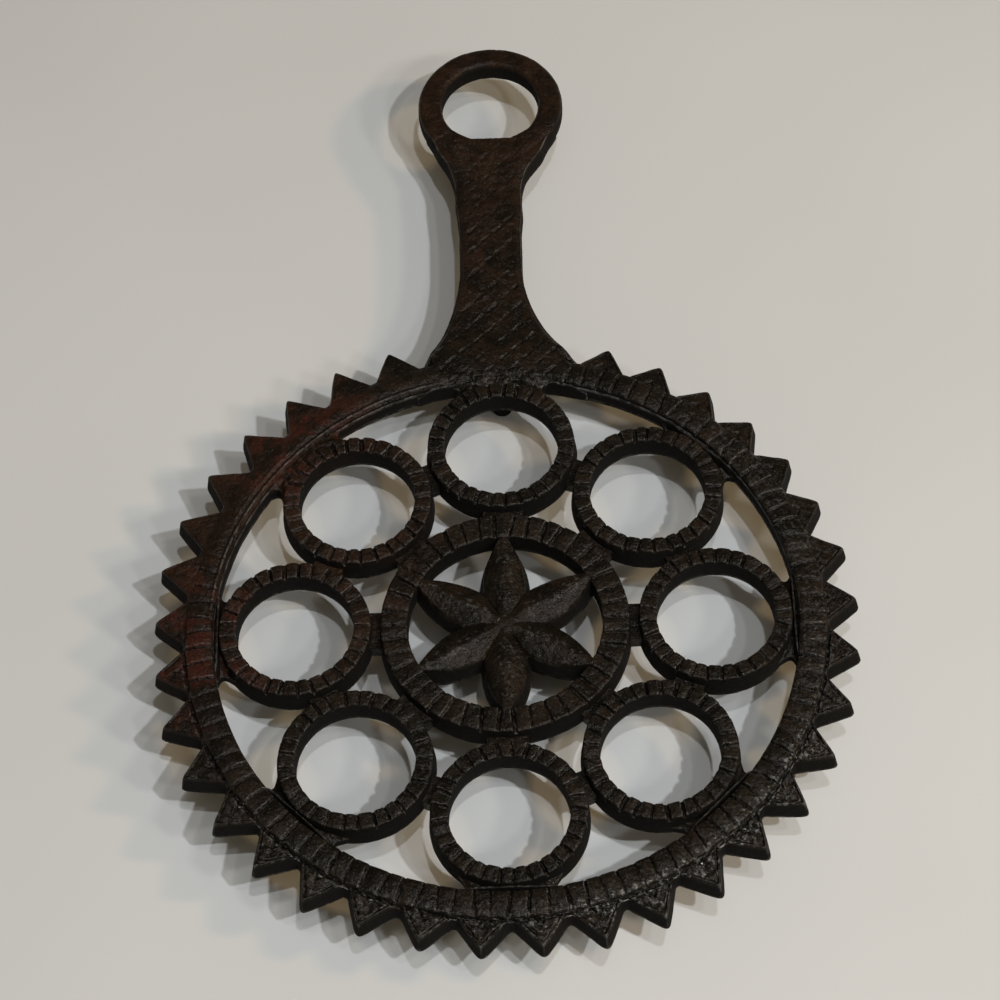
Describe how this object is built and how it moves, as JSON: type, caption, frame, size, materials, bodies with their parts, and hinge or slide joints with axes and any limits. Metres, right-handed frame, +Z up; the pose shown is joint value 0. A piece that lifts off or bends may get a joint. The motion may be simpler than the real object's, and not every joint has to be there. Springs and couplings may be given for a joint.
{
  "type": "trivet",
  "caption": "Round cast-iron trivet with a toothed rim, a circle of reeded rings round a petalled star, short feet, and a cross-hatched handle ending in a hanging eye.",
  "frame": {"origin": "on the surface the feet stand on, below the middle of the trivet's overall length and width", "axes": "+Z up, +Y from the toothed disc along the handle to the hanging eye, +X to the right of the handle"},
  "size_m": [0.1394, 0.2156, 0.0173],
  "materials": {
    "seasoned_iron": "oiled satin casting, dark brown-black, with bare bright metal on the worn edges of the ribs",
    "browned_iron": "oiled satin casting, browned"
  },
  "bodies": {
    "root": {"toothed_rim": "seasoned_iron", "reeded_band": "seasoned_iron", "ring_1": "seasoned_iron", "ring_2": "seasoned_iron", "ring_3": "seasoned_iron", "ring_4": "seasoned_iron", "ring_5": "seasoned_iron", "ring_6": "seasoned_iron", "ring_7": "seasoned_iron", "ring_8": "seasoned_iron", "hub_ring": "seasoned_iron", "star_boss": "seasoned_iron", "petal_1": "seasoned_iron", "petal_2": "seasoned_iron", "petal_3": "seasoned_iron", "petal_4": "seasoned_iron", "petal_5": "seasoned_iron", "petal_6": "seasoned_iron", "rim_webs": "seasoned_iron", "ring_webs": "seasoned_iron", "hub_webs": "seasoned_iron", "handle": "browned_iron", "hanging_eye": "browned_iron", "foot_1": "seasoned_iron", "foot_2": "seasoned_iron", "foot_3": "seasoned_iron"}
  },
  "joints": []
}
